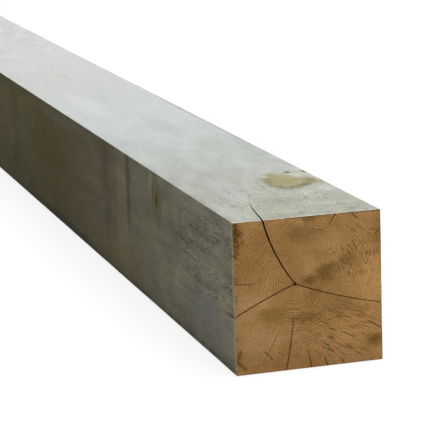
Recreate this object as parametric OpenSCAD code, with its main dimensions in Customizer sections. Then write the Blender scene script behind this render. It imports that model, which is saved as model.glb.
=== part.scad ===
// Sawn oak beam cut round the heart of the log, one solid piece of stock.
// It lies along X on the plane Z = 0, with its origin under its middle.
// The end at +X has dried and split: heart checks run from the pith to the top
// and to both sides, another runs out to the bottom, and short edge checks run
// in from the faces.

/* [Beam] */
// Sawn length from end to end
beam_l = 3000; // [1200:100:6000]
// Width of the section, along Y
beam_w = 200; // [160:5:400]
// Height of the section, along Z
beam_h = 200; // [160:5:400]
// How far each long arris is worn back, along both of its faces
arris = 0.75; // [0.25:0.25:8]

/* [Pith] */
// Distance of the pith from the middle of the section, along Y
pith_y = -18; // [-25:1:25]
// Height of the pith above the middle of the section
pith_z = 13; // [-25:1:25]
// Opening of the heart checks where they meet at the pith
pith_gap = 1.2; // [0.4:0.1:4]
// Depth of the heart checks at the pith, in from the end
pith_depth = 30; // [10:1:70]

/* [Top check] */
// Direction from the pith, in degrees from +Y towards +Z
top_angle = 115.5; // [100:0.5:125]
// Opening where it leaves the top face
top_gap = 2.3; // [1.2:0.1:6]
// Length along the top face, in from the end
top_run = 130; // [60:5:400]
// Sideways bow between the pith and the face
top_bow = 5; // [-10:0.5:10]
// Turn about the pith between the end and the tip, in degrees
top_twist = -11.5; // [-12:0.5:12]

/* [Side check, -Y face] */
// Direction from the pith, in degrees from +Y towards +Z
side_angle = 204; // [195:0.5:215]
// Opening where it leaves the side face
side_gap = 1; // [0.4:0.1:6]
// Length along the side face, in from the end
side_run = 65; // [40:5:400]
// Sideways bow between the pith and the face
side_bow = -1.5; // [-6:0.5:6]
// Turn about the pith between the end and the tip, in degrees
side_twist = -1.5; // [-6:0.5:6]

/* [Back check, +Y face] */
// Direction from the pith, in degrees from +Y towards +Z
back_angle = -17; // [-20:0.5:-5]
// Opening where it leaves the back face
back_gap = 0.8; // [0.4:0.1:6]
// Length along the back face, in from the end
back_run = 55; // [40:5:400]
// Sideways bow between the pith and the face
back_bow = -3; // [-6:0.5:6]
// Turn about the pith between the end and the tip, in degrees
back_twist = 1.5; // [-3:0.5:4]

/* [Low check, bottom face] */
// Direction from the pith, in degrees from +Y towards +Z
low_angle = 262.5; // [255:0.5:270]
// Distance from the pith at which it starts
low_start = 50; // [20:1:50]
// Opening where it leaves the bottom face
low_gap = 1; // [0.4:0.1:6]
// Length along the bottom face, in from the end
low_run = 45; // [20:5:400]
// Sideways bow between the pith and the face
low_bow = 3; // [-6:0.5:6]
// Turn about the pith between the end and the tip, in degrees
low_twist = 1; // [-4:0.5:4]

/* [Edge checks] */
// Opening of the widest short checks where they leave their face
edge_gap = 1.2; // [0.8:0.1:2]
// Length of each short check along its face, in from the end
edge_run = 24; // [8:1:80]
// Turn of each short check about the pith between the end and the tip, in degrees
edge_twist = 1.5; // [-1:0.5:4]

/* [Hidden] */
// Each short check: direction from the pith in degrees, length in from the face,
// and its opening as a share of the widest
edge_checks = [
    [27, 12, 0.6], [57, 18, 0.8], [152, 9, 0.6], [175, 28, 0.5],
    [280, 24, 0.8], [290.5, 14, 1], [300, 9, 0.7], [329, 22, 0.6]
];
// Straight pieces that the curve of a bowed check is drawn with
bow_steps = 6;
// Opening and depth at the inner tip of a check that starts away from the pith
tip_gap = 0.3;
tip_depth = 4;
// How far a cut runs on past the face and past the end of the beam
past_face = 3;
past_end = 1;

pith = [pith_y, beam_h / 2 + pith_z];
oak = [0.52, 0.48, 0.41];

// Unit vectors in the section: out from the pith, and square to that
function outward(angle) = [cos(angle), sin(angle)];
function sideways(angle) = [-sin(angle), cos(angle)];

// Distance from the pith to the outside of the section
function reach(angle) = min(
    (beam_w / 2 - sign(cos(angle)) * pith_y) / max(abs(cos(angle)), 1e-6),
    (beam_h / 2 - sign(sin(angle)) * pith_z) / max(abs(sin(angle)), 1e-6));

// Value between two others, and the shares of a path that is cut into equal steps
function blend(from, to, t) = from + (to - from) * t;
function shares(steps) = [for (i = [0:steps]) i / steps];

// Point of a bowed check in the section: t is 0 at the pith and 1 at the face
function check_point(angle, bow, t) =
    pith + reach(angle) * t * outward(angle) + 4 * bow * t * (1 - t) * sideways(angle);

// Points across a check at one place: both lips, out past the end, and the root
function check_station(angle, bow, twist, t, gap, depth) =
    let (
        lip = check_point(angle, bow, t),
        half_gap = gap / 2 * sideways(angle),
        root = check_point(angle + twist, bow, t)
    )
    [
        concat(beam_l / 2 + past_end, lip + half_gap),
        concat(beam_l / 2 + past_end, lip - half_gap),
        concat(beam_l / 2 - depth, root)
    ];

// Triangles between two stations of a check, given the numbers of their points
function check_sides(here, next) = [
    for (corner = [0:2])
        let (other = (corner + 2) % 3)
        each [
            [here[corner], here[other], next[other]],
            [here[corner], next[other], next[corner]]
        ]
];

// Section of the beam with its worn arrises
module section() {
    half = beam_w / 2;
    polygon([
        [-half + arris, 0], [half - arris, 0],
        [half, arris], [half, beam_h - arris],
        [half - arris, beam_h], [-half + arris, beam_h],
        [-half, beam_h - arris], [-half, arris]
    ]);
}

// Star of checks from the pith to the faces, as one solid to cut away. Each
// arm is [angle, bow, twist, gap, run], and they are in order of their angles.
module heart_checks(arms) {
    count = len(arms);
    // Arms meet in a corner of the star on each side of the pith
    corners = [
        for (i = [0:count - 1])
            let (
                after = arms[(i + 1) % count][0] + (i == count - 1 ? 360 : 0),
                middle = (arms[i][0] + after) / 2,
                out = pith_gap / 2 / sin((after - arms[i][0]) / 2)
            )
            concat(beam_l / 2 + past_end, pith + out * outward(middle))
    ];
    heart = [concat(beam_l / 2 - pith_depth, pith)];
    arm_points = [
        for (arm = arms, i = [1:bow_steps])
            let (t = i / bow_steps * (1 + past_face / reach(arm[0])))
            each check_station(
                arm[0], arm[1], arm[2], t,
                blend(pith_gap, arm[3], t), blend(pith_depth, arm[4], t))
    ];
    first = count + 1;
    station = function (arm, i) i == 0
        ? [1 + arm, 1 + (arm + count - 1) % count, 0]
        : [for (corner = [0:2]) first + 3 * (arm * bow_steps + i - 1) + corner];
    sides = [
        for (arm = [0:count - 1], i = [1:bow_steps])
            each check_sides(station(arm, i - 1), station(arm, i))
    ];
    tips = [
        for (arm = [0:count - 1])
            let (end = station(arm, bow_steps))
            [end[0], end[2], end[1]]
    ];
    middle = [[for (i = [count:-1:1]) i]];
    polyhedron(
        points = concat(heart, corners, arm_points),
        faces = concat(middle, sides, tips));
}

// Check that starts away from the pith and runs out to a face
module outer_check(angle, start, bow, twist, gap, run) {
    steps = bow == 0 ? 1 : bow_steps;
    t_start = start / reach(angle);
    t_end = 1 + past_face / reach(angle);
    stations = [
        for (share = shares(steps))
            let (depth = blend(tip_depth, run, share))
            check_station(
                angle, bow, twist * depth / run, blend(t_start, t_end, share),
                blend(tip_gap, gap, share), depth)
    ];
    numbers = [for (i = [0:steps]) [3 * i, 3 * i + 1, 3 * i + 2]];
    sides = [for (i = [1:steps]) each check_sides(numbers[i - 1], numbers[i])];
    tip = numbers[0];
    end = numbers[steps];
    polyhedron(
        points = [for (station = stations) each station],
        faces = concat(sides, [tip, [end[0], end[2], end[1]]]));
}

module beam() {
    color(oak) difference() {
        rotate([90, 0, 90]) linear_extrude(height = beam_l, center = true) section();
        heart_checks([
            [back_angle, back_bow, back_twist, back_gap, back_run],
            [top_angle, top_bow, top_twist, top_gap, top_run],
            [side_angle, side_bow, side_twist, side_gap, side_run]
        ]);
        outer_check(low_angle, low_start, low_bow, low_twist, low_gap, low_run);
        for (edge = edge_checks)
            outer_check(
                edge[0], reach(edge[0]) - edge[1], 0,
                edge_twist, edge_gap * edge[2], edge_run);
    }
}

beam();
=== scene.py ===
import math

import bmesh
import bpy
from mathutils import Matrix, Vector


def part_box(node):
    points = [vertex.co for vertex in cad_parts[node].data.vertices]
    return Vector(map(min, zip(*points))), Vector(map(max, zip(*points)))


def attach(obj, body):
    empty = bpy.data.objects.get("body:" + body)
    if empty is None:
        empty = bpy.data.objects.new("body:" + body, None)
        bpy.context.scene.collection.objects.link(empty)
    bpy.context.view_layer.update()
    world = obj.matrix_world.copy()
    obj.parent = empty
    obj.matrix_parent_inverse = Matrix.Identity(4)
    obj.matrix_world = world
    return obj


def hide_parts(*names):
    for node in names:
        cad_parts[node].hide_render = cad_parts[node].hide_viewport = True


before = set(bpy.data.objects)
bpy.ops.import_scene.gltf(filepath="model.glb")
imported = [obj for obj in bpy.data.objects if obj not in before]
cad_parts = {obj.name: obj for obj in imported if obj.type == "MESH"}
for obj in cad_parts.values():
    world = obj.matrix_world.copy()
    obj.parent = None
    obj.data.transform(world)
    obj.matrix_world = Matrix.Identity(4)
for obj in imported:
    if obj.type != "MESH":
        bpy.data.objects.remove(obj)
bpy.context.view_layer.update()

low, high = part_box("beam")
beamLength, beamWidth, beamHeight = high - low
print("frame loaded, beam", [round(side, 3) for side in (beamLength, beamWidth, beamHeight)])


# Node building, for materials and for Geometry Nodes

class Field:
    # one output socket, with arithmetic that adds Math nodes
    def __init__(self, bench, socket):
        self.bench = bench
        self.socket = socket


def arithmetic(operation, swapped):
    def act(self, other):
        pair = (other, self) if swapped else (self, other)
        return self.bench.math(operation, *pair)
    return act


for word, operation in (("add", "ADD"), ("sub", "SUBTRACT"), ("mul", "MULTIPLY"), ("truediv", "DIVIDE")):
    setattr(Field, f"__{word}__", arithmetic(operation, False))
    setattr(Field, f"__r{word}__", arithmetic(operation, True))


def findSocket(sockets, key):
    if isinstance(key, int):
        return sockets[key]
    exact = [socket for socket in sockets if socket.identifier == key]
    return exact[0] if exact else sockets[key]


class Bench:
    # one node tree under construction
    def __init__(self, tree):
        self.tree = tree

    def make(self, kind, settings=(), sockets=(), give=0):
        node = self.tree.nodes.new(kind)
        for name, value in dict(settings).items():
            if name == "stops":
                self.setStops(node.color_ramp, value)
            else:
                setattr(node, name, value)
        for name, value in dict(sockets).items():
            self.feed(findSocket(node.inputs, name), value)
        if isinstance(give, tuple):
            return [Field(self, findSocket(node.outputs, name)) for name in give]
        return Field(self, findSocket(node.outputs, give))

    def feed(self, socket, value):
        if isinstance(value, Field):
            self.tree.links.new(value.socket, socket)
        else:
            socket.default_value = value

    def setStops(self, ramp, stops):
        for place, colour in stops[2:]:
            ramp.elements.new(place)
        for element, (place, colour) in zip(ramp.elements, stops):
            element.position = place
            element.color = colour

    def math(self, operation, *values):
        return self.make("ShaderNodeMath", {"operation": operation}, enumerate(values))

    def vector(self, x, y, z):
        return self.make("ShaderNodeCombineXYZ", {}, {"X": x, "Y": y, "Z": z})

    def split(self, vector):
        return self.make("ShaderNodeSeparateXYZ", {}, {"Vector": vector}, ("X", "Y", "Z"))

    def noise(self, x, y, z, detail=2.0, roughness=0.5):
        sockets = {"Vector": self.vector(x, y, z), "Scale": 1.0, "Detail": detail, "Roughness": roughness}
        return self.make("ShaderNodeTexNoise", {}, sockets)

    # 0 at start and 1 at end, smooth between; start may be the larger
    def rise(self, value, start, end):
        sockets = {"Value": value, "From Min": start, "From Max": end}
        return self.make("ShaderNodeMapRange", {"interpolation_type": "SMOOTHSTEP"}, sockets)

    def mixColour(self, factor, first, second):
        sockets = {"Factor_Float": factor, "A_Color": first, "B_Color": second}
        return self.make("ShaderNodeMix", {"data_type": "RGBA"}, sockets, "Result_Color")

    # a colour made lighter or darker
    def shade(self, colour, factor):
        return self.make("ShaderNodeVectorMath", {"operation": "SCALE"}, {0: colour, "Scale": factor})

    # distance from a spot in units of its own half sizes
    def spotDistance(self, u, v, at, size):
        across = (u - at[0]) / size[0]
        up = (v - at[1]) / size[1]
        return self.math("SQRT", across * across + up * up)

    # distance from a straight mark
    def markDistance(self, u, v, start, end):
        alongU, alongV = end[0] - start[0], end[1] - start[1]
        squared = alongU * alongU + alongV * alongV
        share = ((u - start[0]) * alongU + (v - start[1]) * alongV) / squared
        share = self.math("MAXIMUM", self.math("MINIMUM", share, 1.0), 0.0)
        across = u - start[0] - share * alongU
        up = v - start[1] - share * alongV
        return self.math("SQRT", across * across + up * up)


def tint(red, green, blue):
    # screen colour from 0 to 255, as the linear colour that a shader takes
    parts = [value / 255 for value in (red, green, blue)]
    return tuple(p / 12.92 if p <= 0.04045 else ((p + 0.055) / 1.055) ** 2.4 for p in parts) + (1.0,)


def newMaterial(name):
    material = bpy.data.materials.new(name)
    material.use_nodes = True
    material.node_tree.nodes.clear()
    return material, Bench(material.node_tree)


# Wood: how rough each kind of surface is, how far that varies, and how deep its marks are in metres

surfaces = {
    "face": {"rough": 0.72, "varies": 0.2, "marks": 0.0012},
    "end": {"rough": 0.8, "varies": 0.15, "marks": 0.0010},
    "split": {"rough": 0.85, "varies": 0.1, "marks": 0.0008},
}
woodShine = 0.08
tiny = 1e-7  # metres, keeps divisions away from zero


class Finish:
    # one wood finish under construction: its place on the beam and its colour so far
    def __init__(self, name, look):
        self.look = look
        self.material, self.bench = newMaterial(name)
        self.rise, self.math = self.bench.rise, self.bench.math
        self.place = self.bench.split(self.bench.make("ShaderNodeTexCoord", {}, {}, "Object"))
        self.colour = None

    # noise from a named row, over u and v unless told otherwise
    def pattern(self, name, along=None, across=None):
        alongScale, acrossScale, start, *detail = self.patterns[name]
        along = (along or self.u) * alongScale
        across = (across or self.v) * acrossScale
        return self.bench.noise(along, across, self.look["seed"] + start, *detail)

    # a share from 0 to 1 between two distances from a spot, counted in its own half sizes
    def inSpot(self, at, size, start, end, ragged=0.0):
        return self.rise(self.bench.spotDistance(self.u, self.v, at, size) + ragged, start, end)

    def paint(self, amount, tone):
        self.colour = self.bench.mixColour(amount, self.colour, tint(*tone))

    def shade(self, factor):
        self.colour = self.bench.shade(self.colour, factor)

    # soft patches with ragged outlines, painted in strokes
    def paintSpots(self, spots, ragged, strokes):
        for at, size, tone, amount in spots:
            self.paint(self.inSpot(at, size, 1.0, 0.25, ragged) * strokes * amount, tone)

    def close(self, kind, texture, height):
        surface = surfaces[kind]
        bump = {"Strength": 1.0, "Distance": surface["marks"], "Height": height}
        shader = self.bench.make("ShaderNodeBsdfPrincipled", {}, {
            "Base Color": self.colour,
            "Roughness": surface["rough"] + texture * surface["varies"],
            "Specular IOR Level": woodShine,
            "Normal": self.bench.make("ShaderNodeBump", {}, bump),
        })
        self.bench.make("ShaderNodeOutputMaterial", {}, {"Surface": shader}, ())
        return self.material


# Long faces: weathered grey, with saw marks, torn grain, knots and stains.
# A place on a face is metres from the split end, then metres from the face's low edge.
# A spot is its place, its half sizes, its tone and how strong it is.
# A band is where it starts and ends along the face, its soft edge, its shade and how far down it comes.

silverSheenTop = {
    "across": "Y",
    "seed": 3.0,
    "lean": 0.13,  # spiral grain, metres across for each metre along
    # tones pale towards the far end: partly bleached wood, partly a painted sheen where the top is seen at a
    # glancing angle
    "tones": [
        (0.0, (176, 177, 163)), (0.1, (182, 184, 170)), (0.3, (186, 188, 180)), (0.45, (187, 192, 187)),
        (0.8, (203, 208, 207)), (1.2, (206, 209, 206)), (1.8, (216, 219, 216)), (3.0, (226, 229, 226)),
    ],
    "cloud": {"large": 0.5, "small": 0.5, "fade": {"from": 0.4, "to": 0.9, "rest": 0.3, "far": 0.4}},
    "streak": {"amount": 0.3, "wavy": 0.04, "fade": {"from": 0.2, "to": 0.5, "rest": 0.3, "far": 0.9}},
    "ripple": {"amount": 0.16, "lean": 1.05, "at": (0.42, 0.08), "size": (0.36, 0.12)},
    "saw": {"amount": 0.9, "reach": 0.2, "broad": 62},
    "torn": {"amount": 0.45, "pale": 0.5, "tone": (112, 114, 104), "light": (226, 227, 218),
             "places": [((0.08, 0.1), (0.19, 0.13)), ((2.6, 0.09), (0.55, 0.12))]},
    "bands": [],
    "check": {"from": (-0.01, 0.039), "to": (0.13, 0.0603), "width": 0.0016,
              "tone": (70, 62, 54), "amount": 0.8},
    # the top's rim: pale fibres and a painted highlight along the split end's arris
    "rim": {"amount": 0.8, "width": 0.0035, "tone": (222, 223, 214), "broken": 120},
    "foot": None,
    "knots": [
        {"at": (0.232, 0.155), "size": (0.062, 0.036), "turn": 0.16, "amount": 0.4, "flow": 0.06,
         "wood": (164, 156, 118), "heart": (172, 150, 110), "ring": (128, 124, 90), "darkSide": (-0.9, 0.2)},
        {"at": (1.38, 0.095), "size": (0.06, 0.015), "turn": 0.1, "amount": 0.3, "flow": 0.015,
         "wood": (200, 202, 194), "heart": (194, 194, 184), "ring": (186, 188, 180), "darkSide": (1.0, 0.6)},
        {"at": (1.83, 0.06), "size": (0.05, 0.016), "turn": 0.1, "amount": 0.3, "flow": 0.015,
         "wood": (204, 206, 198), "heart": (196, 197, 188), "ring": (190, 192, 184), "darkSide": (1.0, 0.6)},
    ],
    "spots": [
        ((0.23, 0.147), (0.068, 0.036), (168, 161, 126), 0.75),
        ((0.216, 0.173), (0.034, 0.03), (164, 156, 120), 0.6),
        ((0.197, 0.129), (0.026, 0.012), (146, 140, 102), 0.85),
        ((0.232, 0.127), (0.04, 0.014), (148, 142, 100), 0.9),
        ((0.272, 0.142), (0.028, 0.013), (158, 152, 112), 0.85),
        ((0.228, 0.148), (0.028, 0.014), (164, 148, 104), 0.7),
        ((0.236, 0.165), (0.011, 0.012), (168, 146, 106), 0.6),
        ((0.184, 0.147), (0.011, 0.018), (136, 134, 104), 0.85),
        ((0.194, 0.167), (0.01, 0.016), (112, 108, 80), 0.9),
        ((0.216, 0.183), (0.026, 0.018), (154, 144, 106), 0.85),
        ((0.21, 0.163), (0.011, 0.004), (208, 202, 182), 0.75),
        ((0.245, 0.109), (0.034, 0.003), (158, 160, 148), 0.35),
        ((0.264, 0.175), (0.026, 0.017), (208, 208, 196), 0.8),
        ((0.289, 0.1725), (0.01, 0.006), (58, 46, 14), 1.0),
        ((0.279, 0.166), (0.01, 0.004), (186, 178, 128), 0.7),
        ((0.291, 0.185), (0.004, 0.014), (142, 137, 106), 0.6),
        ((0.302, 0.18), (0.012, 0.003), (186, 180, 122), 0.7),
        ((0.286, 0.196), (0.012, 0.005), (104, 98, 62), 0.85),
        ((0.105, 0.105), (0.03, 0.05), (158, 160, 142), 0.5),
        ((0.04, 0.085), (0.012, 0.03), (196, 196, 168), 0.6),
        ((0.07, 0.15), (0.012, 0.036), (198, 199, 176), 0.5),
        ((0.022, 0.102), (0.007, 0.008), (128, 130, 122), 0.8),
        ((0.022, 0.168), (0.008, 0.008), (128, 132, 128), 0.7),
        ((0.098, 0.16), (0.008, 0.006), (132, 136, 132), 0.7),
        ((0.16, 0.185), (0.03, 0.016), (206, 207, 204), 0.6),
        ((0.25, 0.03), (0.02, 0.003), (150, 154, 150), 0.7),
        ((0.06, 0.018), (0.09, 0.022), (206, 208, 204), 0.5),
        ((0.2, 0.055), (0.12, 0.035), (202, 205, 202), 0.4),
        ((0.57, 0.14), (0.06, 0.035), (180, 183, 175), 0.5),
        ((0.75, 0.12), (0.16, 0.03), (184, 188, 184), 0.5),
        ((1.02, 0.06), (0.22, 0.03), (222, 224, 221), 0.5),
        ((0.86, 0.1985), (0.5, 0.0055), (164, 158, 138), 0.8),
        ((0.92, 0.1975), (0.025, 0.005), (140, 118, 80), 0.9),
    ],
}

shadedSide = {
    "across": "Z",
    "seed": 17.0,
    "lean": -0.02,
    # darker than the top and darker further along: partly the weathered tone, partly painted shade of a side
    # that faces away from the light
    "tones": [
        (0.0, (150, 144, 124)), (0.15, (142, 138, 121)), (0.25, (134, 130, 111)), (0.45, (121, 117, 98)),
        (0.6, (110, 103, 82)), (0.75, (102, 96, 75)), (1.05, (90, 83, 54)), (1.4, (91, 85, 59)),
        (3.0, (90, 85, 62)),
    ],
    "cloud": {"large": 1.0, "small": 1.2, "fade": None},
    "streak": {"amount": 1.0, "wavy": 0.006, "fade": {"from": 0.2, "to": 0.6, "rest": 0.35, "far": 0.9}},
    "ripple": None,
    "saw": {"amount": 0.5, "reach": 0.6, "broad": 40},
    "torn": {"amount": 0.72, "pale": 0.7, "tone": (58, 54, 45), "light": (182, 176, 158),
             "places": [((0.1, 0.13), (0.22, 0.085)), ((2.45, 0.09), (0.6, 0.09))]},
    "bands": [
        (0.478, 0.508, 0.012, 1.14, 0.11),
        (0.517, 0.538, 0.005, 0.64, 0.06),
        (0.541, 0.6, 0.01, 1.22, -0.06),
        (0.64, 0.69, 0.014, 0.78, 0.04),
        (0.384, 0.402, 0.005, 1.25, 0.12),
    ],
    "check": {"from": (-0.01, 0.0765), "to": (0.064, 0.0745), "width": 0.0012,
              "tone": (48, 42, 34), "amount": 0.6},
    "rim": {"amount": 0.9, "width": 0.0045, "tone": (200, 178, 144), "broken": 320},
    "foot": {"amount": 0.55, "width": 0.012, "tone": (54, 51, 36)},
    "knots": [
        {"at": (0.364, 0.16), "size": (0.006, 0.012), "turn": 0.0, "amount": 0.9, "flow": 0.045,
         "wood": (86, 74, 34), "heart": (44, 34, 14), "ring": (72, 62, 30), "darkSide": (-1.0, 0.0)},
        {"at": (2.36, 0.078), "size": (0.05, 0.024), "turn": 0.05, "amount": 0.55, "flow": 0.028,
         "wood": (88, 80, 54), "heart": (64, 54, 30), "ring": (56, 50, 32), "darkSide": (0.9, -0.3)},
    ],
    "spots": [
        ((0.13, 0.04), (0.18, 0.045), (136, 135, 126), 0.6),
        ((0.115, 0.062), (0.06, 0.036), (132, 136, 138), 0.5),
        ((0.362, 0.164), (0.036, 0.042), (104, 96, 58), 0.7),
        ((0.455, 0.16), (0.055, 0.05), (132, 127, 113), 0.5),
        ((0.385, 0.168), (0.006, 0.03), (90, 80, 42), 0.75),
        ((0.372, 0.19), (0.004, 0.012), (92, 80, 42), 0.7),
        ((0.366, 0.16), (0.0045, 0.018), (58, 46, 18), 0.9),
        ((0.357, 0.13), (0.004, 0.026), (98, 90, 52), 0.6),
        ((0.345, 0.15), (0.004, 0.03), (104, 94, 58), 0.7),
        ((0.65, 0.187), (0.012, 0.012), (110, 94, 50), 0.85),
        ((0.645, 0.14), (0.02, 0.022), (120, 104, 72), 0.5),
        ((0.62, 0.03), (0.24, 0.04), (122, 110, 80), 0.5),
        ((1.06, 0.1), (0.24, 0.085), (78, 72, 42), 0.65),
        ((1.0, 0.002), (0.28, 0.02), (44, 46, 30), 0.8),
        ((1.3, 0.12), (0.1, 0.05), (88, 87, 68), 0.5),
        ((2.1, 0.1), (0.3, 0.07), (84, 78, 55), 0.45),
        ((1.0, 0.188), (0.36, 0.022), (106, 102, 86), 0.6),
    ],
}

plainBack = {
    "across": "Z",
    "seed": 31.0,
    "lean": 0.03,
    "tones": [(0.0, (156, 151, 134)), (0.6, (146, 143, 128)), (1.7, (154, 151, 137)), (3.0, (144, 140, 124))],
    "cloud": {"large": 1.0, "small": 0.8, "fade": None},
    "streak": {"amount": 0.9, "wavy": 0.008, "fade": None},
    "ripple": None,
    "saw": {"amount": 0.45, "reach": 3.0, "broad": 40},
    "torn": {"amount": 0.6, "pale": 0.4, "tone": (82, 78, 65), "light": (176, 172, 156),
             "places": [((1.5, 0.1), (1.6, 0.1))]},
    "bands": [
        (1.42, 1.47, 0.006, 0.86, 0.03),
        (2.3, 2.36, 0.008, 1.1, 0.03),
    ],
    "check": {"from": (-0.01, 0.077), "to": (0.055, 0.08), "width": 0.0012,
              "tone": (58, 52, 42), "amount": 0.6},
    "rim": {"amount": 0.7, "width": 0.004, "tone": (196, 176, 144), "broken": 320},
    "foot": {"amount": 0.75, "width": 0.012, "tone": (78, 74, 56)},
    "knots": [
        {"at": (1.02, 0.118), "size": (0.05, 0.026), "turn": 0.1, "amount": 0.5, "flow": 0.025,
         "wood": (138, 129, 102), "heart": (112, 96, 64), "ring": (98, 88, 62), "darkSide": (-0.8, -0.4)},
    ],
    "spots": [
        ((2.25, 0.08), (0.25, 0.07), (124, 119, 96), 0.5),
        ((0.45, 0.15), (0.2, 0.05), (170, 168, 156), 0.4),
    ],
}

plainBottom = dict(plainBack, across="Y", seed=47.0, knots=[], check=None, foot=None)

# patterns on a long face: scales along and across, start in the noise, detail and roughness if unusual
facePatterns = {
    "wobble": (5, 12, 0, 3, 0.6),
    "wavy": (7, 11, 5, 3, 0.5),
    "largeCloud": (2.2, 9, 10, 4, 0.6),
    "smallCloud": (14, 38, 11, 4, 0.6),
    "streak": (6, 150, 20, 4, 0.6),
    "hair": (22, 620, 21),
    "kerfDrift": (4, 14, 30),
    "broadKerf": (1, 3, 31),
    "fineKerf": (330, 7, 32),
    "sawPatch": (9, 14, 33),
    "fineTear": (55, 430, 40, 3, 0.7),
    "coarseTear": (11, 90, 41),
    "tearPatch": (13, 26, 42),
    "ripple": (95, 9, 45, 3, 0.55),
    "fray": (60, 1, 50, 2, 0.6),
    "smear": (30, 70, 51, 4, 0.65),
    "footPatch": (4, 0, 52),
    "spotEdge": (45, 70, 60, 4, 0.65),
    "spotStroke": (34, 240, 61, 3, 0.6),
    "knotEdge": (26, 40, 70, 3, 0.55),
    "swirl": (16, 120, 80, 4, 0.65),
}

# metres that the patterns push lines aside, and the reach of soft edges
faceDrift = {
    "tone": 0.08, "band": 0.01, "bandFade": 0.06, "kerf": 0.012, "ripple": 0.05, "check": 0.006,
    "checkCore": 0.0003, "rim": 0.016, "foot": 0.034, "farOff": (1.1, 2.2),
}


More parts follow.
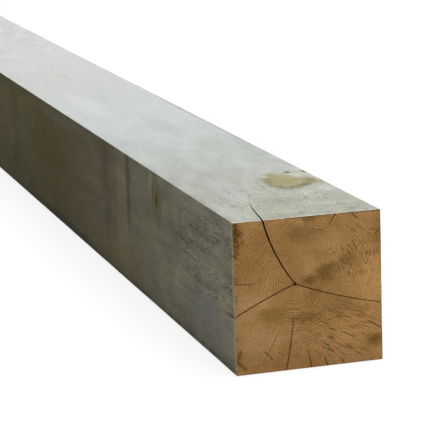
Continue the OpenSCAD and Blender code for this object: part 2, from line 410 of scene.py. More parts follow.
class LongFace(Finish):
    # u counts along the face, v across it and w across the grain
    patterns = facePatterns

    def __init__(self, name, look):
        super().__init__(name, look)
        x, y, z = self.place
        self.u = high.x - x
        self.v = (y - low.y) if look["across"] == "Y" else (z - low.z)
        self.wavy = self.pattern("wavy") - 0.5
        self.wobble = self.pattern("wobble") - 0.5
        self.farOff = self.rise(self.u, *faceDrift["farOff"])
        self.w = self.v - self.u * look["lean"] + self.wavy * look["streak"]["wavy"]
        self.knotReach = [self.knotDistance(knot) for knot in look["knots"]]
        # the grain is pushed aside round each knot
        for knot, distance in zip(look["knots"], self.knotReach):
            self.w = self.w - (self.v - knot["at"][1]) * self.rise(distance, 2.2, 0.4) * 0.75

    def onGrain(self, name):
        return self.pattern(name, self.u, self.w)

    # the knot's outline is turned with the grain and uneven
    def knotDistance(self, knot):
        ragged = self.pattern("knotEdge") - 0.5
        turned = self.v - (self.u - knot["at"][0]) * knot["turn"]
        return self.bench.spotDistance(self.u, turned, knot["at"], knot["size"]) + ragged * 0.7

    # full near the split end, less further on, stronger again far off
    def fading(self, fade):
        if not fade:
            return 1.0
        near = self.rise(self.u, fade["to"], fade["from"])
        return fade["rest"] + (1 - fade["rest"]) * near + self.farOff * fade["far"]

    # tones along the face, which hold a painted sheen on the top and painted shade on the -Y side, then large
    # and small clouds
    def layTones(self):
        stops = [(at / beamLength, tint(*tone)) for at, tone in self.look["tones"]]
        along = (self.u + self.wobble * faceDrift["tone"]) / beamLength
        self.colour = self.bench.make("ShaderNodeValToRGB", {"stops": stops}, {"Fac": along})
        part = self.look["cloud"]
        large = self.onGrain("largeCloud") - 0.5
        small = self.onGrain("smallCloud") - 0.5
        self.shade(1 + (large * part["large"] + small * part["small"]) * self.fading(part["fade"]))

    # lighter and darker bands across the face
    def layBands(self):
        along = self.u + self.wobble * faceDrift["band"]
        up = self.v + self.wobble * faceDrift["tone"]
        for start, end, edge, shade, down in self.look["bands"]:
            inside = self.rise(along, start - edge, start + edge)
            inside = inside * self.rise(along, end + edge, end - edge)
            inside = inside * self.rise(up, down, down + faceDrift["bandFade"])
            self.shade(1 + inside * (shade - 1))

    def laySpots(self):
        ragged = (self.pattern("spotEdge") - 0.5) * 1.1
        strokes = self.rise(self.onGrain("spotStroke"), 0.1, 0.5)
        self.paintSpots(self.look["spots"], ragged, strokes)

    # saw marks across the face, clear near the split end
    def laySaw(self):
        part = self.look["saw"]
        kerf = self.u + (self.pattern("kerfDrift") - 0.5) * faceDrift["kerf"]
        broad = self.pattern("broadKerf", kerf * part["broad"], self.v)
        self.sawn = broad * 0.65 + self.pattern("fineKerf", kerf, self.v) * 0.35
        patchy = self.rise(self.pattern("sawPatch"), 0.35, 0.6)
        shown = self.rise(self.u, part["reach"] * 1.3, part["reach"] * 0.4) * patchy * part["amount"]
        self.shade(1 + (self.sawn - 0.5) * shown)

    # streaks along the grain
    def layStreaks(self):
        part = self.look["streak"]
        self.grain = self.onGrain("streak") * 0.6 + self.onGrain("hair") * 0.4
        self.shade(1 + (self.grain - 0.5) * self.fading(part["fade"]) * part["amount"])

    # wavy marks slantwise over part of the face
    def layRipple(self):
        part = self.look["ripple"]
        if not part:
            return
        inside = self.inSpot(part["at"], part["size"], 1.2, 0.4)
        slant = self.u + self.v * part["lean"] + self.wavy * faceDrift["ripple"]
        ripple = self.pattern("ripple", slant, self.v - self.u) - 0.5
        self.shade(1 + ripple * inside * part["amount"])

    # torn grain: short dark dashes, and pale dashes of raised fibres with a painted highlight, in parts of
    # the face
    def layTorn(self):
        part = self.look["torn"]
        inside = 0.0
        for at, size in part["places"]:
            inside = self.math("MAXIMUM", self.inSpot(at, size, 1.2, 0.5), inside)
        inside = inside * self.rise(self.pattern("tearPatch"), 0.35, 0.54)
        fine = self.onGrain("fineTear")
        dash = fine * 0.7 + self.onGrain("coarseTear") * 0.3
        self.torn = self.rise(dash, 0.52, 0.62) * inside * part["amount"]
        self.paint(self.torn, part["tone"])
        # pale dashes: raised fibres with a painted highlight
        self.raisedAndHighlit = self.rise(dash, 0.46, 0.37) * inside * part["pale"]
        self.paint(self.raisedAndHighlit, part["light"])

    # knots: dark on one side, lighter wood in streaks inside, pale flow lines round them
    def layKnots(self):
        rise = self.rise
        for knot, distance in zip(self.look["knots"], self.knotReach):
            (atU, atV), (sizeU, sizeV), (sideU, sideV) = knot["at"], knot["size"], knot["darkSide"]
            amount = knot["amount"]
            swirl = self.onGrain("swirl")
            self.paint(rise(distance, 1.15, 0.55) * rise(swirl, 0.3, 0.55) * amount, knot["wood"])
            aside = (self.u - atU) / sizeU * sideU + (self.v - atV) / sizeV * sideV
            rind = rise(distance, 0.35, 0.75) * rise(distance, 1.2, 0.85) * rise(aside + swirl * 2, 0.2, 1.7)
            self.paint(rind * amount, knot["ring"])
            self.paint(rise(distance, 0.8, 0.25) * rise(swirl, 0.56, 0.46) * amount, knot["heart"])
            flow = self.math("SINE", distance * 17 + swirl * 6)
            halo = rise(distance, 0.5, 0.9) * rise(distance, 2.3, 1.2)
            self.shade(1 + flow * halo * knot["flow"])

    # painted shade beside the check, less so towards the check's tip
    def layCheck(self):
        part = self.look["check"]
        if not part:
            return
        (startU, startV), (endU, endV) = part["from"], part["to"]
        slope = (endV - startV) / (endU - startU)
        aside = self.v - startV - (self.u - startU) * slope + self.wavy * faceDrift["check"]
        beside = self.rise(self.math("ABSOLUTE", aside), part["width"], faceDrift["checkCore"])
        self.paint(beside * self.rise(self.u, endU, endU * 0.3) * part["amount"], part["tone"])

    # pale fibres along the cut, and on the top a painted highlight along the arris
    def layRim(self):
        part = self.look["rim"]
        fray = self.pattern("fray", self.u, self.v * part["broken"]) - 0.55
        rim = self.rise(self.u + fray * faceDrift["rim"], part["width"], 0.0)
        self.paint(rim * part["amount"], part["tone"])

    # darker along the foot of the face, in patches
    def layFoot(self):
        part = self.look["foot"]
        if not part:
            return
        smear = self.pattern("smear") - 0.5
        footPatchy = self.rise(self.pattern("footPatch"), 0.36, 0.56)
        foot = self.rise(self.v + smear * faceDrift["foot"], part["width"], 0.0)
        self.paint(foot * (0.3 + footPatchy * 0.7) * part["amount"], part["tone"])


def weatheredFace(name, look):
    face = LongFace(name, look)
    face.layTones()
    face.layBands()
    face.laySpots()
    face.laySaw()
    face.layStreaks()
    face.layRipple()
    face.layTorn()
    face.layKnots()
    face.layCheck()
    face.layRim()
    face.layFoot()
    height = face.grain * 0.5 + face.sawn * 0.35 + face.raisedAndHighlit * 0.3 - face.torn * 0.6
    return face.close("face", face.grain, height)


# Ends: growth rings round the pith, rays and smudges.
# A place on an end is metres from the -Y edge, then metres above the bottom.
# A mark is where it starts and ends, its half width and its tone.

pith = {
    "across": beamWidth / 2 - 0.018,
    "up": beamHeight / 2 + 0.013,
    "edge": (0.0035, 0.001),
    "tone": (52, 28, 22),
    "spacing": 0.0035,  # of the rings
    "towardsBack": 0.0004,
    "towardsTop": -0.0003,
}

# checks in the split end: degrees from +Y towards +Z, bow, length in from the face, how dark beside it
checkLines = [
    (115.5, 0.005, 0.3, 1.0),
    (204.0, -0.0015, 0.3, 0.6),
    (-17.0, -0.003, 0.3, 0.3),
    (262.5, 0.003, 0.075, 0.9),
    (27.0, 0.0, 0.014, 0.6),
    (57.0, 0.0, 0.02, 0.8),
    (152.0, 0.0, 0.012, 0.6),
    (175.0, 0.0, 0.032, 0.5),
    (280.0, 0.0, 0.028, 0.8),
    (290.5, 0.0, 0.017, 0.9),
    (300.0, 0.0, 0.012, 0.9),
    (329.0, 0.0, 0.026, 0.9),
]

freshEnd = {
    "seed": 5.0,
    "tones": {"mid": (151, 112, 66), "pale": (166, 129, 84), "dull": (134, 99, 54)},
    "ring": {"dark": 0.3, "pale": 0.24, "elsewhere": 0.3, "clear": [
        ((0.026, 0.16), (0.045, 0.04)), ((0.11, 0.188), (0.055, 0.02)),
        ((0.092, 0.064), (0.034, 0.034)), ((0.045, 0.12), (0.026, 0.025)),
        ((0.172, 0.15), (0.02, 0.026)),
    ], "lost": [((0.03, 0.04), (0.036, 0.04))]},
    "ray": {"amount": 0.35, "tone": (104, 72, 36), "pale": (182, 146, 100)},
    "dash": {"amount": 0.75, "tone": (84, 52, 22), "from": (-0.02, 0.13),
             "at": (0.145, 0.045), "size": (0.058, 0.048)},
    "tear": {"amount": 0.6, "tone": (92, 64, 30), "at": (0.165, 0.145), "size": (0.05, 0.05)},
    # stain beside the checks, partly painted shade of the cracks
    "stainAndShade": {"amount": 0.95, "tone": (84, 30, 4), "width": 0.0016},
    "saw": {"amount": 0.2, "tone": (120, 88, 48)},
    "spots": [
        ((0.102, 0.115), (0.013, 0.01), (100, 74, 30), 0.8),
        ((0.123, 0.125), (0.021, 0.017), (102, 78, 30), 0.8),
        ((0.154, 0.138), (0.022, 0.014), (112, 84, 40), 0.6),
        ((0.096, 0.178), (0.034, 0.018), (118, 88, 46), 0.6),
        ((0.105, 0.196), (0.02, 0.006), (100, 72, 32), 0.6),
        ((0.05, 0.074), (0.026, 0.014), (120, 90, 44), 0.55),
        ((0.095, 0.068), (0.034, 0.01), (108, 80, 36), 0.7),
        ((0.138, 0.08), (0.026, 0.014), (120, 90, 44), 0.5),
        ((0.189, 0.03), (0.018, 0.014), (100, 72, 28), 0.9),
        ((0.004, 0.022), (0.009, 0.02), (104, 76, 30), 0.4),
        ((0.002, 0.183), (0.017, 0.032), (76, 48, 6), 0.9),
        ((0.001, 0.16), (0.008, 0.014), (92, 66, 26), 0.5),
        ((0.185, 0.11), (0.03, 0.06), (182, 138, 84), 0.75),
        ((0.16, 0.045), (0.045, 0.035), (170, 128, 78), 0.5),
        ((0.002, 0.126), (0.009, 0.012), (106, 78, 36), 0.7),
        ((0.002, 0.098), (0.008, 0.022), (108, 82, 42), 0.6),
        ((0.03, 0.094), (0.036, 0.012), (170, 135, 92), 0.6),
        ((0.032, 0.04), (0.036, 0.034), (168, 132, 88), 0.6),
        ((0.168, 0.1), (0.032, 0.02), (166, 127, 78), 0.6),
        ((0.15, 0.175), (0.036, 0.016), (156, 117, 70), 0.5),
    ],
    "marks": [
        ((0.04, 0.0275), (0.0495, 0.0168), 0.0016, (72, 46, 22)),
        ((0.057, 0.026), (0.063, 0.022), 0.0012, (96, 66, 34)),
        ((0.061, 0.0557), (0.0363, 0.0129), 0.0011, (122, 88, 48)),
        ((0.001, 0.0165), (0.008, 0.0315), 0.004, (100, 70, 24)),
        ((0.004, 0.0175), (0.0135, 0.008), 0.0038, (98, 68, 22)),
        ((0.0, 0.0465), (0.0035, 0.049), 0.002, (88, 64, 40)),
        ((0.16, 0.198), (0.168, 0.19), 0.0018, (82, 54, 24)),
        ((0.18, 0.146), (0.1785, 0.139), 0.0013, (82, 54, 26)),
        ((0.184, 0.146), (0.1825, 0.1395), 0.0012, (88, 60, 28)),
        ((0.178, 0.132), (0.1788, 0.1295), 0.0016, (78, 50, 24)),
        ((0.1275, 0.05), (0.1363, 0.047), 0.0014, (88, 58, 28)),
        ((0.1175, 0.0265), (0.1325, 0.0195), 0.0015, (86, 56, 26)),
        ((0.1625, 0.015), (0.1725, 0.0075), 0.0012, (92, 62, 30)),
        ((0.1425, 0.141), (0.15, 0.134), 0.0012, (96, 66, 32)),
        ((0.145, 0.135), (0.155, 0.1315), 0.0011, (96, 66, 32)),
        ((0.07, 0.1992), (0.128, 0.199), 0.0022, (86, 58, 26)),
        ((0.145, 0.199), (0.2, 0.1988), 0.0024, (86, 58, 26)),
        ((0.186, 0.1745), (0.2, 0.174), 0.0014, (92, 62, 28)),
    ],
}

greyEnd = {
    "seed": 9.0,
    "tones": {"mid": (140, 122, 96), "pale": (160, 146, 122), "dull": (116, 99, 74)},
    "ring": {"dark": 0.3, "pale": 0.16, "elsewhere": 0.8, "clear": [
        ((0.1, 0.1), (0.06, 0.06)),
    ], "lost": []},
    "ray": {"amount": 0.4, "tone": (92, 76, 54), "pale": (168, 154, 130)},
    "dash": {"amount": 0.5, "tone": (74, 60, 42), "from": (pith["across"], pith["up"]),
             "at": (0.1, 0.1), "size": (0.11, 0.11)},
    "tear": {"amount": 0.4, "tone": (84, 70, 50), "at": (0.06, 0.06), "size": (0.06, 0.06)},
    "stainAndShade": None,
    "saw": {"amount": 0.35, "tone": (104, 90, 68)},
    "spots": [
        ((0.06, 0.16), (0.05, 0.03), (112, 96, 70), 0.5),
        ((0.15, 0.05), (0.05, 0.04), (150, 138, 116), 0.5),
    ],
    "marks": [],
}

# patterns on an end, as on a long face; those that fan out have their scales round a point and out from it
endPatterns = {
    "cloud": (16, 16, 0, 5, 0.65),
    "speckle": (480, 480, 2, 3, 0.7),
    "ringSway": (22, 22, 10, 3, 0.5),
    "pores": (420, 420, 11, 2, 0.6),
    "zoneEdge": (40, 40, 12),
    "ringShake": (110, 110, 13),
    "kerfDrift": (9, 9, 20),
    "kerf": (520, 6, 21, 2, 0.6),
    "spotEdge": (80, 80, 60, 5, 0.7),
    "rayFan": (60, 110, 0, 2, 0.6),
    "dashFan": (150, 72, 5, 0, 0.5),
    "tearFan": (7, 320, 9, 1, 0.5),
}

# metres that the patterns push lines aside, and the reach of soft edges
endDrift = {"kerf": 0.006, "mark": 0.0012, "stainAndShadeCore": 0.0004, "stainAndShadeFade": 0.006}


def checkReach(angle):
    # metres from the pith to the outside of the section
    sideways, upward = math.cos(angle), math.sin(angle)
    toSide = (beamWidth - pith["across"] if sideways > 0 else pith["across"]) / max(abs(sideways), tiny)
    toFlat = (beamHeight - pith["up"] if upward > 0 else pith["up"]) / max(abs(upward), tiny)
    return min(toSide, toFlat)


class CutEnd(Finish):
    # u counts across the end and v up it; du and dv count from the pith
    patterns = endPatterns

    def __init__(self, name, look):
        super().__init__(name, look)
        x, y, z = self.place
        self.u = y - low.y
        self.v = z - low.z
        self.du = self.u - pith["across"]
        self.dv = self.v - pith["up"]
        self.squared = self.du * self.du + self.dv * self.dv
        self.radius = self.math("SQRT", self.squared)
        self.side = self.du / (self.radius + tiny)
        self.upward = self.dv / (self.radius + tiny)
        self.speckle = self.pattern("speckle") - 0.5

    # a pattern in lines out from a point or round it
    def fan(self, name, side, upward, radius):
        roundScale, outScale, start, *detail = self.patterns[name]
        out = radius * outScale + (self.look["seed"] + start)
        return self.bench.noise(side * roundScale, upward * roundScale, out, *detail)

    def layTones(self):
        tones = self.look["tones"]
        cloud = self.pattern("cloud")
        pale = self.rise(cloud, 0.45, 0.7)
        self.colour = self.bench.mixColour(pale, tint(*tones["mid"]), tint(*tones["pale"]))
        self.paint(self.rise(cloud, 0.5, 0.28), tones["dull"])
        ragged = (self.pattern("spotEdge") - 0.5) * 2.0
        self.paintSpots(self.look["spots"], ragged, 1.0)
        self.shade(1.03 + self.speckle * 1.7)

    # rings counted out from the pith; they are wider towards the back and the bottom
    def ringCount(self):
        spacing = self.radius * pith["spacing"] + self.du * pith["towardsBack"] + self.dv * pith["towardsTop"]
        count = self.squared / (spacing + tiny)
        count = count + (self.pattern("ringSway") - 0.5) * 2.4
        return count + (self.pattern("ringShake") - 0.5) * 0.9

    # how clear the rings are: most in some places, lost in others
    def ringClearness(self):
        part = self.look["ring"]
        clear = part["elsewhere"]
        shaky = (self.pattern("zoneEdge") - 0.5) * 1.2
        for at, size in part["clear"]:
            clear = self.math("MAXIMUM", clear, self.inSpot(at, size, 1.2, 0.6, shaky))
        for at, size in part["lost"]:
            clear = clear * self.inSpot(at, size, 0.7, 1.3, shaky)
        return clear

    # rings: a dark line of pores, then paler late wood, each ring bolder or fainter than the next
    def layRings(self):
        part = self.look["ring"]
        rise = self.rise
        count = self.ringCount()
        turn = self.math("FRACT", count)
        pores = rise(self.pattern("pores"), 0.35, 0.62)
        ring = self.math("FLOOR", count)
        uneven = self.bench.noise(ring * 3.7, self.u * 16, self.v * 16 + self.look["seed"], 2, 0.6)
        shown = self.ringClearness() * (0.2 + rise(uneven, 0.36, 0.62) * 1.1)
        self.line = rise(turn, 0.42, 0.1) * rise(turn, 0.0, 0.08) * (0.25 + pores) * shown
        self.shade(1 - self.line * part["dark"])
        self.shade(1 + rise(turn, 0.5, 0.75) * rise(turn, 1.0, 0.85) * shown * part["pale"])

    # rays: fine broken lines straight out from the pith
    def layRays(self):
        part = self.look["ray"]
        self.ray = self.fan("rayFan", self.side, self.upward, self.radius)
        self.paint(self.rise(self.ray, 0.56, 0.75) * part["amount"], part["tone"])
        self.paint(self.rise(self.ray, 0.44, 0.25) * part["amount"], part["pale"])

    # short dark splits that fan out from a point
    def layDashes(self):
        part = self.look["dash"]
        inside = self.inSpot(part["at"], part["size"], 1.2, 0.3)
        awayU, awayV = self.u - part["from"][0], self.v - part["from"][1]
        away = self.math("SQRT", awayU * awayU + awayV * awayV) + tiny
        split = self.fan("dashFan", awayU / away, awayV / away, away) + self.speckle * 0.15
        self.dash = self.rise(split, 0.63, 0.71) * (inside * 0.94 + 0.06) * part["amount"]
        self.paint(self.dash, part["tone"])
        self.shade(1 + self.rise(split, 0.42, 0.3) * inside * 0.16)

    # short torn lines that follow the rings
    def layTears(self):
        part = self.look["tear"]
        inside = self.inSpot(part["at"], part["size"], 1.2, 0.4)
        split = self.fan("tearFan", self.side, self.upward, self.radius) + self.speckle * 0.12
        self.tear = self.rise(split, 0.60, 0.68) * inside * part["amount"]
        self.paint(self.tear, part["tone"])

    # single dark marks
    def layMarks(self):
        for start, end, width, tone in self.look["marks"]:
            distance = self.bench.markDistance(self.u, self.v, start, end) + self.speckle * endDrift["mark"]
            self.paint(self.rise(distance, width, 0.0) * 0.75, tone)

    # saw marks, a little aslant
    def laySaw(self):
        part = self.look["saw"]
        drift = (self.pattern("kerfDrift") - 0.5) * endDrift["kerf"]
        self.sawn = self.pattern("kerf", self.u * 0.25 + self.v + drift, self.u)
        self.paint(self.rise(self.sawn, 0.55, 0.75) * part["amount"], part["tone"])

    # reddish stain beside the checks, with painted shade of the cracks
    def layStainAndShade(self):
        part = self.look["stainAndShade"]
        if not part:
            return
        for degrees, bow, length, dark in checkLines:
            angle = math.radians(degrees)
            reach = checkReach(angle)
            start = max(0.0, reach - length)
            along = self.du * math.cos(angle) + self.dv * math.sin(angle)
            share = along / reach
            across = self.dv * math.cos(angle) - self.du * math.sin(angle) - share * (1 - share) * (4 * bow)
            beside = self.rise(self.math("ABSOLUTE", across), part["width"], endDrift["stainAndShadeCore"])
            shown = self.rise(along, start, start + endDrift["stainAndShadeFade"]) * (0.55 + self.speckle)
            self.paint(beside * shown * (part["amount"] * dark), part["tone"])

    def layPith(self):
        self.paint(self.rise(self.radius, *pith["edge"]), pith["tone"])


def sawnEnd(name, look):
    end = CutEnd(name, look)
    end.layTones()
    end.layRings()
    end.layRays()
    end.layDashes()
    end.layTears()
    end.layMarks()
    end.laySaw()
    end.layStainAndShade()
    end.layPith()
    height = end.sawn * 0.35 + end.ray * 0.25 - end.line * 0.3 - end.dash * 0.6 - end.tear * 0.4
    return end.close("end", end.ray, height)


# the checks' walls: red-brown wood with painted shade of the crack
checkWallAndShade = {"deep": (52, 14, 2), "pale": (96, 38, 10)}
paleFibre = {"deep": (176, 152, 116), "pale": (208, 190, 160)}


def splitWood(name, look):
    finish = Finish(name, look)
    x, y, z = finish.place
    streak = finish.bench.noise(x * 25, y * 260, z * 260, 3, 0.6)
    finish.colour = finish.bench.mixColour(streak, tint(*look["deep"]), tint(*look["pale"]))
    return finish.close("split", streak, streak)


finishes = {
    "top": weatheredFace("silverSheenTop", silverSheenTop),
    "side": weatheredFace("shadedSide", shadedSide),
    "back": weatheredFace("plainBack", plainBack),
    "bottom": weatheredFace("plainBottom", plainBottom),
    "splitEnd": sawnEnd("freshEnd", freshEnd),
    "farEnd": sawnEnd("greyEnd", greyEnd),
    "checks": splitWood("checkWallAndShade", checkWallAndShade),
    "fibre": splitWood("paleFibre", paleFibre),
}
finishNames = list(finishes)
print("finishes made:", ", ".join(finishNames))


# The beam's mesh: the solid's own faces, cut into cells small enough for the relief; sizes in metres

cells = {
    "lengthSpans": [  # metres from the split end, and the cells' length up to there
        (0.0015, 0.00075), (0.06, 0.003), (0.3, 0.005), (0.42, 0.008), (1.0, 0.02), (beamLength, 0.04),
    ],
    "sectionStep": 0.0025,
    "edgeLine": 0.00075,
    "onFace": 0.00001,
    "merge": 1e-6,
    "flatAngle": 0.002,
    "cutSlack": 1e-7,
}


def cutPlaces():
    places = []
    start = 0.0
    for until, step in cells["lengthSpans"]:
        count = round((until - start) / step)
        places += [start + (until - start) * (i + 1) / count for i in range(count)]
        start = until
    return places[:-1]


def cutAcross(mesh, axis, places):
    normal = Vector((0, 0, 0))
    normal[axis] = 1
    for place in places:
        everything = mesh.verts[:] + mesh.edges[:] + mesh.faces[:]
        bmesh.ops.bisect_plane(
            mesh, geom=everything, dist=cells["cutSlack"], plane_co=normal * place, plane_no=normal)


def finishOf(face):
    centre = face.calc_center_median()
    normal = face.normal
    for axis, (lower, upper) in enumerate((("farEnd", "splitEnd"), ("side", "back"), ("bottom", "top"))):
        if normal[axis] > 0.99 and high[axis] - centre[axis] < cells["onFace"]:
            return upper
        if normal[axis] < -0.99 and centre[axis] - low[axis] < cells["onFace"]:
            return lower
    # the worn arrises go with the side that they are beside
    inward = max(min(high.y - centre.y, centre.y - low.y), min(high.z - centre.z, centre.z - low.z))
    if abs(normal.x) < 0.01 and inward < cells["edgeLine"]:
        return "back" if normal.y > 0 else "side"
    return "checks"


def cutBeam():
    mesh = bmesh.new()
    mesh.from_mesh(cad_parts["beam"].data)
    bmesh.ops.remove_doubles(mesh, verts=mesh.verts, dist=cells["merge"])
    bmesh.ops.dissolve_limit(mesh, angle_limit=cells["flatAngle"], verts=mesh.verts, edges=mesh.edges)
    cutAcross(mesh, 0, [high.x - place for place in cutPlaces()])
    for axis in (1, 2):
        side = high[axis] - low[axis]
        steps = [i * cells["sectionStep"] for i in range(1, round(side / cells["sectionStep"]))]
        steps = [cells["edgeLine"], *steps, side - cells["edgeLine"]]
        cutAcross(mesh, axis, [low[axis] + place for place in steps])
    for face in mesh.faces:
        face.material_index = finishNames.index(finishOf(face))
    data = bpy.data.meshes.new("oakBeam")
    mesh.to_mesh(data)
    mesh.free()
    for finish in finishes.values():
        data.materials.append(finish)
    return data


beamMesh = cutBeam()
print("beam cut into", len(beamMesh.polygons), "faces")


# Relief: uneven faces, worn arrises and loose fibres, sizes in metres

relief = {
    "Unevenness": 0.0009,
    "Saw ripple": 0.0005,
    "Grain ridge": 0.0004,
    "End ripple": 0.0005,
    "Sunk layer": 0.005,
    "Arris wear": 0.0010,
    "Arris notch": 0.0035,
    "End arris wear": 0.0014,
    "Fibre length": 0.0022,
    "Fibre thickness": 0.00035,
    "Fibres": 150000.0,  # for each square metre beside the split end's -Y arris
    "Fibres along": 0.004,  # how far in from the arris they grow
    "Fibres across": 0.003,
    "Fibre clearance": 0.008,  # above the floor
    "Seed": 4,
}
sharpDegrees = 35


def distances(bench):
    # a point's place, how far in it is from the ends, sides and top or bottom, and the outward signs
    x, y, z = bench.split(bench.make("GeometryNodeInputPosition"))
    up = z - (low.z + high.z) / 2
    fromSide = beamWidth / 2 - bench.math("ABSOLUTE", y)
    fromFlat = beamHeight / 2 - bench.math("ABSOLUTE", up)
    fromEnd = beamLength / 2 - bench.math("ABSOLUTE", x)
    signs = [bench.math("SIGN", part) for part in (x, y, up)]
    return (x, y, z), (fromEnd, fromSide, fromFlat), signs


def moved(bench, geometry, x, y, z):
    sockets = {"Geometry": geometry, "Offset": bench.vector(x, y, z)}
    return bench.make("GeometryNodeSetPosition", {}, sockets)


def sinkFaces(bench, given):
    # each face sinks a little, less and less below its surface, and hardly at the top's large knot
    (x, y, z), inward, (sx, sy, sz) = distances(bench)
    seed = given["Seed"]
    u = high.x - x
    uneven = bench.noise(u * 5, y * 24, z * 24 + seed, 3, 0.5) * given["Unevenness"]
    ripple = bench.noise(u * 34, y * 3, z * 3 + seed, 2, 0.5) * given["Saw ripple"]
    ridge = bench.noise(u * 9, y * 140, z * 140 + seed, 2, 0.5) * given["Grain ridge"]
    knot = silverSheenTop["knots"][0]
    reached = bench.spotDistance(u, y - low.y, knot["at"], knot["size"])
    hard = bench.rise(reached, 1.3, 0.5) * bench.rise(inward[2], 0.03, 0.0) * 0.9
    sunk = (uneven + ripple + ridge) * (1 - hard)
    endSunk = bench.noise(x * 9, y * 30 + seed, z * 110, 3, 0.55) * given["End ripple"]
    shares = [bench.math("MAXIMUM", 1 - depth / given["Sunk layer"], 0.0) for depth in inward]
    return moved(
        bench, given["Geometry"],
        0 - sx * endSunk * shares[0], 0 - sy * sunk * shares[1], 0 - sz * sunk * shares[2])


def wearArrises(bench, given, geometry):
    # the long arrises are worn back, with notches
    (x, y, z), (fromEnd, fromSide, fromFlat), (sx, sy, sz) = distances(bench)
    arris = sy * 3.7 + sz * 7.1 + given["Seed"]
    slow = bench.noise(x * 7, arris, 1.5, 3, 0.6)
    quick = bench.noise(x * 75, arris, 8.5, 2, 0.6)
    notched = bench.rise(slow * 0.65 + quick * 0.35, 0.58, 0.75)
    wear = given["Arris wear"] * (quick * 1.6) + given["Arris notch"] * notched
    shift = bench.math("MAXIMUM", (wear - fromSide - fromFlat) / 2, 0.0)
    return moved(bench, geometry, 0.0, 0 - sy * shift, 0 - sz * shift)


def wearEnds(bench, given, geometry):
    # the arrises of both ends are worn back, most beside the -Y face
    (x, y, z), (fromEnd, fromSide, fromFlat), (sx, sy, sz) = distances(bench)
    inward = bench.math("MINIMUM", fromSide, fromFlat)
    onSide = bench.math("LESS_THAN", fromSide, fromFlat)
    frayed = bench.noise(x * 20 + given["Seed"], y * 130, z * 130, 3, 0.6)
    wear = given["End arris wear"] * frayed * (1 + onSide * bench.rise(y, 0.0, low.y) * 1.5)
    shift = bench.math("MAXIMUM", (wear - fromEnd - inward) / 2, 0.0)
    return moved(bench, geometry, 0 - sx * shift, 0 - sy * shift * onSide, 0 - sz * shift * (1 - onSide))


def growFibres(bench, given, geometry):
    # loose fibres lean out along the split end's -Y arris, clear of the floor
    (x, y, z), (fromEnd, fromSide, fromFlat), (sx, sy, sz) = distances(bench)
    seed = given["Seed"]
    nearCut = bench.math("LESS_THAN", high.x - x, given["Fibres along"])
    nearSide = bench.math("LESS_THAN", fromSide, given["Fibres across"]) * bench.math("LESS_THAN", y, 0.0)
    chosen = nearCut * nearSide * bench.math("GREATER_THAN", z, given["Fibre clearance"] + low.z)
    spread = {"Mesh": geometry, "Selection": chosen, "Density": given["Fibres"], "Seed": seed}
    points = bench.make("GeometryNodeDistributePointsOnFaces", {}, spread)
    cone = {"Vertices": 4, "Radius Top": 0.1, "Radius Bottom": 1.0, "Depth": 1.0}
    named = {"Geometry": bench.make("GeometryNodeMeshCone", {}, cone), "Name": "fibre", "Value": True}
    onFaces = {"data_type": "BOOLEAN", "domain": "FACE"}
    fibre = bench.make("GeometryNodeStoreNamedAttribute", onFaces, named)
    leaning = {"Min": (0.15, 0.5, -0.5), "Max": (0.6, 1.0, 0.5), "Seed": seed}
    lean = bench.split(bench.make("FunctionNodeRandomValue", {"data_type": "FLOAT_VECTOR"}, leaning))
    heading = {"Vector": bench.vector(lean[0], lean[1] * sy, lean[2])}
    turned = bench.make("FunctionNodeAlignRotationToVector", {"axis": "Z"}, heading)
    growing = {"Min_001": 0.4, "Max_001": 1.2, "Seed": seed}
    growth = bench.make("FunctionNodeRandomValue", {"data_type": "FLOAT"}, growing, "Value_001")
    width = given["Fibre thickness"] * growth
    size = bench.vector(width, width, given["Fibre length"] * growth)
    placed = {"Points": points, "Instance": fibre, "Rotation": turned, "Scale": size}
    return bench.make("GeometryNodeInstanceOnPoints", {}, placed)


def reliefTree():
    tree = bpy.data.node_groups.new("beamRelief", "GeometryNodeTree")
    tree.interface.new_socket(name="Geometry", in_out="INPUT", socket_type="NodeSocketGeometry")
    for name, value in relief.items():
        kind = "NodeSocketInt" if isinstance(value, int) else "NodeSocketFloat"
        tree.interface.new_socket(name=name, in_out="INPUT", socket_type=kind)
    tree.interface.new_socket(name="Fibre finish", in_out="INPUT", socket_type="NodeSocketMaterial")
    tree.interface.new_socket(name="Geometry", in_out="OUTPUT", socket_type="NodeSocketGeometry")
    bench = Bench(tree)
    names = ("Geometry", *relief, "Fibre finish")
    given = dict(zip(names, bench.make("NodeGroupInput", {}, {}, names)))
    wood = wearEnds(bench, given, wearArrises(bench, given, sinkFaces(bench, given)))
    joined = bench.make("GeometryNodeJoinGeometry", {}, {"Geometry": growFibres(bench, given, wood)})
    bench.feed(joined.socket.node.inputs[0], wood)
    whole = bench.make("GeometryNodeRealizeInstances", {}, {"Geometry": joined})
    isFibre = bench.make("GeometryNodeInputNamedAttribute", {"data_type": "BOOLEAN"}, {"Name": "fibre"})
    finished = {"Geometry": whole, "Selection": isFibre, "Material": given["Fibre finish"]}
    whole = bench.make("GeometryNodeSetMaterial", {}, finished)
    bench.make("NodeGroupOutput", {}, {"Geometry": whole}, ())
    return tree


def wornBeam():
    rough = bpy.data.objects.new("oakBeam", beamMesh)
    bpy.context.scene.collection.objects.link(rough)
    modifier = rough.modifiers.new("relief", "NODES")
    modifier.node_group = reliefTree()
    values = dict(relief)
    values["Fibre finish"] = finishes["fibre"]
    for item in modifier.node_group.interface.items_tree:
        if item.in_out == "INPUT" and item.name in values:
            modifier[item.identifier] = values[item.name]
    graph = bpy.context.evaluated_depsgraph_get()
    data = bpy.data.meshes.new_from_object(rough.evaluated_get(graph))
    rough.modifiers.remove(modifier)
    data.name = "oakBeamWorn"
    data.attributes.remove(data.attributes["fibre"])
    data.shade_smooth()
    data.set_sharp_from_angle(angle=math.radians(sharpDegrees))
    rough.data = data
    return rough


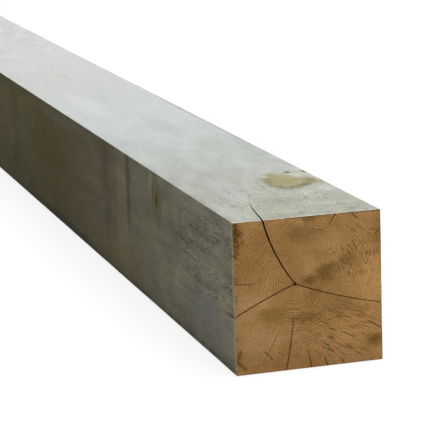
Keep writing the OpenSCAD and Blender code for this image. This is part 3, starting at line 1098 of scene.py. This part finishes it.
beam = wornBeam()
triangles = sum(len(face.vertices) - 2 for face in beam.data.polygons)
print("relief and fibres added,", triangles, "triangles")
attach(beam, "root")
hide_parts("beam")


# Floor, light and camera

stage = {
    "floorHalf": 60.0,
    "floorTone": (236, 236, 234),
    "white": 0.7,
    "glow": 1.2,
    "whiteFrom": (2.5, 7.0),
    "underBeam": (-0.004, -0.001),  # the floor glows only outside the beam's own footprint
    "worldLight": 0.2,
    "lamps": {
        "overhead": {"at": (0.6, 1.4, 4.2), "aim": (0.2, 0.0, 0.1), "size": 4.5, "watts": 188},
        "endFill": {"at": (6.0, 1.2, 1.8), "aim": (1.5, 0.0, 0.1), "size": 2.5, "watts": 100},
    },
}


def seenRays(bench):
    # 1 for rays that show a thing to the camera, 0 for those that light other things
    names = ("Is Camera Ray", "Is Glossy Ray", "Is Transmission Ray")
    first, second, third = bench.make("ShaderNodeLightPath", {}, {}, names)
    return bench.math("MAXIMUM", bench.math("MAXIMUM", first, second), third)


def makeFloor():
    material, bench = newMaterial("paleFloor")
    x, y, z = bench.split(bench.make("ShaderNodeTexCoord", {}, {}, "Object"))
    far = bench.rise(bench.math("SQRT", x * x + y * y), *stage["whiteFrom"])
    beyond = bench.math("MAXIMUM", bench.math("ABSOLUTE", x) - high.x, bench.math("ABSOLUTE", y) - high.y)
    white = (stage["white"] + far * (1 - stage["white"])) * bench.rise(beyond, *stage["underBeam"])
    paint = bench.make("ShaderNodeBsdfDiffuse", {}, {"Color": tint(*stage["floorTone"])})
    glow = bench.make("ShaderNodeEmission", {}, {"Strength": stage["glow"]})
    mixed = bench.make("ShaderNodeMixShader", {}, {0: seenRays(bench) * white, 1: paint, 2: glow})
    bench.make("ShaderNodeOutputMaterial", {}, {"Surface": mixed}, ())
    half = stage["floorHalf"]
    data = bpy.data.meshes.new("floor")
    corners = [(-half, -half, low.z), (half, -half, low.z), (half, half, low.z), (-half, half, low.z)]
    data.from_pydata(corners, [], [(0, 1, 2, 3)])
    data.materials.append(material)
    floor = bpy.data.objects.new("floor", data)
    bpy.context.scene.collection.objects.link(floor)


def makeWorld():
    world = bpy.data.worlds.new("studio")
    world.use_nodes = True
    world.node_tree.nodes.clear()
    bench = Bench(world.node_tree)
    level = stage["worldLight"] + seenRays(bench) * (1 - stage["worldLight"])
    sky = bench.make("ShaderNodeBackground", {}, {"Color": (1, 1, 1, 1), "Strength": level})
    bench.make("ShaderNodeOutputWorld", {}, {"Surface": sky}, ())
    bpy.context.scene.world = world


def facing(part):
    return (Vector(part["aim"]) - Vector(part["at"])).to_track_quat("-Z", "Y")


def makeLamps():
    for name, lamp in stage["lamps"].items():
        data = bpy.data.lights.new(name, "AREA")
        data.size = lamp["size"]
        data.energy = lamp["watts"]
        holder = bpy.data.objects.new(name, data)
        holder.location = lamp["at"]
        holder.rotation_euler = facing(lamp).to_euler()
        holder.visible_camera = False
        bpy.context.scene.collection.objects.link(holder)


camera = {
    "at": (3.83504, -0.81228, 0.72996),
    "aim": (1.5, -0.12077, 0.21187),
    "rollDegrees": -1.898,
    "lens": 167.8,
    "sensorWidth": 36.0,
}


def makeCamera():
    data = bpy.data.cameras.new("camera")
    data.lens = camera["lens"]
    data.sensor_width = camera["sensorWidth"]
    holder = bpy.data.objects.new("camera", data)
    roll = Matrix.Rotation(math.radians(camera["rollDegrees"]), 4, "Z")
    holder.matrix_world = Matrix.Translation(camera["at"]) @ facing(camera).to_matrix().to_4x4() @ roll
    bpy.context.scene.collection.objects.link(holder)
    bpy.context.scene.camera = holder


makeFloor()
makeWorld()
makeLamps()
makeCamera()
bpy.context.scene.view_settings.view_transform = "Standard"
print("stage and camera set")
